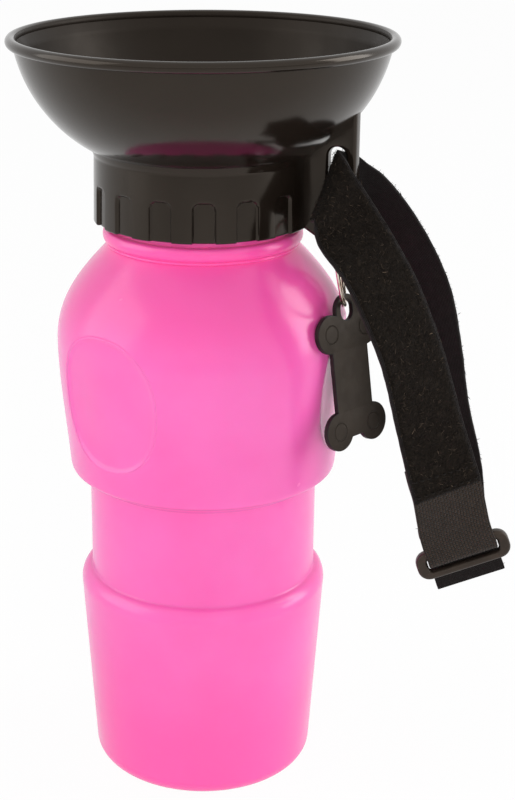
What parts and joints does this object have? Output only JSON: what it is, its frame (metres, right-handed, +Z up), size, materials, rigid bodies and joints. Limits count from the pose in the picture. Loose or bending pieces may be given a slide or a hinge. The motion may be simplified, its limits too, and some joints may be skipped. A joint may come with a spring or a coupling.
{
  "type": "pet water bottle",
  "caption": "Squeeze water bottle for pets with a screw-on drinking bowl, twist shut-off valve, dip tube, hook-and-loop hand strap and a hanging bone tag.",
  "frame": {"origin": "on the bottle's axis, in the plane that the bottle's foot stands on; the flat panel under the foot is 1 mm above it", "axes": "+Z up along the bottle's axis towards the bowl, +X from the axis to the strap lug"},
  "size_m": [0.1466, 0.1076, 0.222],
  "materials": {
    "bottle_plastic": "satin pink low-density polyethylene, slightly see-through",
    "black_plastic": "semi-gloss warm black injection-moulded plastic",
    "silicone": "matte grey silicone",
    "tube_plastic": "milky polyethylene tube",
    "pile_tape": "black brushed loop pile on a woven back",
    "webbing": "black plain-woven webbing",
    "ring_steel": "nickel-plated steel wire",
    "tag_rubber": "dark moulded rubber with a fine satin surface"
  },
  "bodies": {
    "bottle": {"bottle": "bottle_plastic"},
    "seal": {"bowl_seal": "silicone"},
    "bowl": {"bowl": "black_plastic", "valve_body": "black_plastic", "valve_o_ring": "silicone", "dip_tube": "tube_plastic"},
    "valve_knob": {"valve_knob": "black_plastic"},
    "strap": {"strap_loop_tape": "pile_tape", "strap_webbing": "webbing", "strap_hook_patch": "webbing", "strap_ring": "black_plastic"},
    "tag_ring": {"tag_ring": "ring_steel"},
    "tag": {"tag": "tag_rubber"}
  },
  "joints": [
    {"name": "bowl_lift", "type": "slide", "parent": "bottle", "child": "seal", "axis": [0, 0, 1], "range_m": [0, 0.006]},
    {"name": "bowl_turn", "type": "hinge", "parent": "seal", "child": "bowl", "pos_m": [0, 0, 0.1846], "axis": [0, 0, 1], "range_deg": [0, 540]},
    {"name": "valve_turn", "type": "hinge", "parent": "bowl", "child": "valve_knob", "pos_m": [0, 0, 0.1935], "axis": [0, 0, 1], "range_deg": [0, 90]},
    {"name": "strap_swing", "type": "hinge", "parent": "bowl", "child": "strap", "pos_m": [0.04365, 0, 0.181], "axis": [0, 0, 1], "range_deg": [-8, 8]},
    {"name": "ring_swing", "type": "hinge", "parent": "bowl", "child": "tag_ring", "pos_m": [0.0386, 0, 0.1703], "axis": [0, -1, 0], "range_deg": [0, 8]},
    {"name": "tag_swing", "type": "hinge", "parent": "tag_ring", "child": "tag", "pos_m": [0.0435, -0.0035, 0.14914], "axis": [0.2528, -0.9434, 0.2146], "range_deg": [0, 10]}
  ],
  "couplings": [
    {"joint": "bowl_lift", "follows": "bowl_turn", "m_per_rad": 0.00063662}
  ]
}
